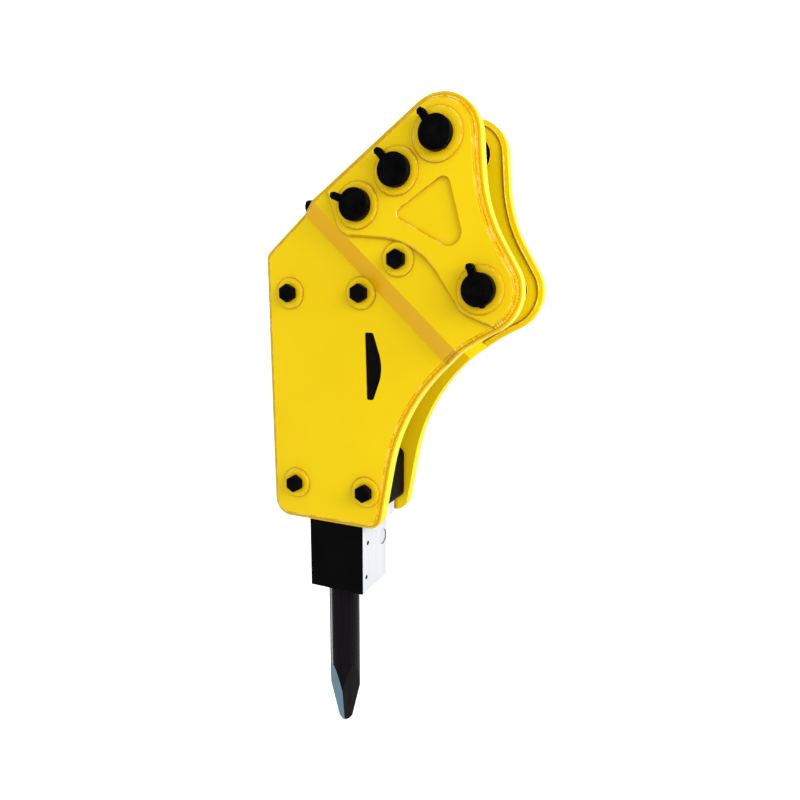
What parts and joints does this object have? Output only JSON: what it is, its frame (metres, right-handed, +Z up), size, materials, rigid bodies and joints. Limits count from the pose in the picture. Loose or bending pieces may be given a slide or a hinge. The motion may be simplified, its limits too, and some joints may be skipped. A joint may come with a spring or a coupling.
{
  "type": "hydraulic breaker hammer",
  "caption": "Side-plate hydraulic breaker hammer with cranked ears, link and stick pins, and a sliding moil chisel.",
  "frame": {"origin": "centre of the stick pin on the mid-plane between the side plates", "axes": "+Z up along the chisel, pointing away from its tip; +Y along the mounting pins towards the right side plate; +X towards the stick side"},
  "size_m": [0.7807, 0.3948, 1.9355],
  "materials": {
    "yellow_paint": "semi-gloss industrial enamel",
    "black_paint": "satin black enamel on cast steel",
    "black_steel": "blackened steel fasteners and pins",
    "tool_steel": "forged and hardened tool steel, oiled black",
    "steel": "ground steel",
    "bronze": "turned bronze",
    "rubber": "matt rubber"
  },
  "bodies": {
    "housing": {"side_plate_left": "yellow_paint", "side_plate_right": "yellow_paint", "cover_plate_left": "yellow_paint", "cover_plate_right": "yellow_paint", "ear_doubler_left": "yellow_paint", "ear_doubler_right": "yellow_paint", "pin_bosses_left": "yellow_paint", "pin_bosses_right": "yellow_paint", "bolt_pads_left": "yellow_paint", "bolt_pads_right": "yellow_paint", "side_buffer_left": "rubber", "side_buffer_right": "rubber", "side_bolts_left": "black_steel", "side_bolts_right": "black_steel", "tie_bolt": "black_steel", "tie_nut": "black_steel", "tie_spacer": "black_steel", "ear_washers_left": "black_steel", "ear_washers_right": "black_steel", "front_head": "black_paint", "lower_bush": "bronze", "upper_bush": "bronze", "thrust_ring": "steel", "tool_pin": "steel", "tool_pin_plug": "steel", "bush_lock_pin": "black_steel", "grease_nipple": "black_steel", "dust_seal": "rubber", "cylinder": "black_paint", "seal_retainer": "bronze", "piston_seals": "rubber", "back_head": "black_paint", "gas_valve": "steel", "through_bolts": "steel", "through_bolt_washers": "steel", "through_bolt_nuts": "black_steel", "valve_box": "black_paint", "valve_cap": "black_paint", "valve_cap_bolts": "steel", "port_block": "black_paint", "pressure_port": "black_steel", "return_port": "black_steel"},
    "chisel": {"chisel": "tool_steel"},
    "piston": {"piston": "steel"},
    "valve_spool": {"valve_spool": "steel"},
    "stick_pin": {"stick_pin": "black_steel", "stick_pin_keeper": "black_steel", "stick_pin_bolt": "black_steel"},
    "link_pin_upper": {"link_pin_upper": "black_steel", "link_pin_upper_keeper": "black_steel", "link_pin_upper_bolt": "black_steel"},
    "link_pin_middle": {"link_pin_middle": "black_steel", "link_pin_middle_keeper": "black_steel", "link_pin_middle_bolt": "black_steel"},
    "link_pin_lower": {"link_pin_lower": "black_steel", "link_pin_lower_keeper": "black_steel", "link_pin_lower_bolt": "black_steel"}
  },
  "joints": [
    {"name": "chisel_slide", "type": "slide", "parent": "housing", "child": "chisel", "axis": [0, 0, 1], "range_m": [0, 0.07]},
    {"name": "piston_slide", "type": "slide", "parent": "housing", "child": "piston", "axis": [0, 0, 1], "range_m": [0, 0.11]},
    {"name": "valve_spool_slide", "type": "slide", "parent": "housing", "child": "valve_spool", "axis": [0, 0, 1], "range_m": [0, 0.018]},
    {"name": "stick_pin_slide", "type": "slide", "parent": "housing", "child": "stick_pin", "axis": [0, -1, 0], "range_m": [0, 0.42]},
    {"name": "link_pin_upper_slide", "type": "slide", "parent": "housing", "child": "link_pin_upper", "axis": [0, -1, 0], "range_m": [0, 0.42]},
    {"name": "link_pin_middle_slide", "type": "slide", "parent": "housing", "child": "link_pin_middle", "axis": [0, -1, 0], "range_m": [0, 0.42]},
    {"name": "link_pin_lower_slide", "type": "slide", "parent": "housing", "child": "link_pin_lower", "axis": [0, -1, 0], "range_m": [0, 0.42]}
  ]
}
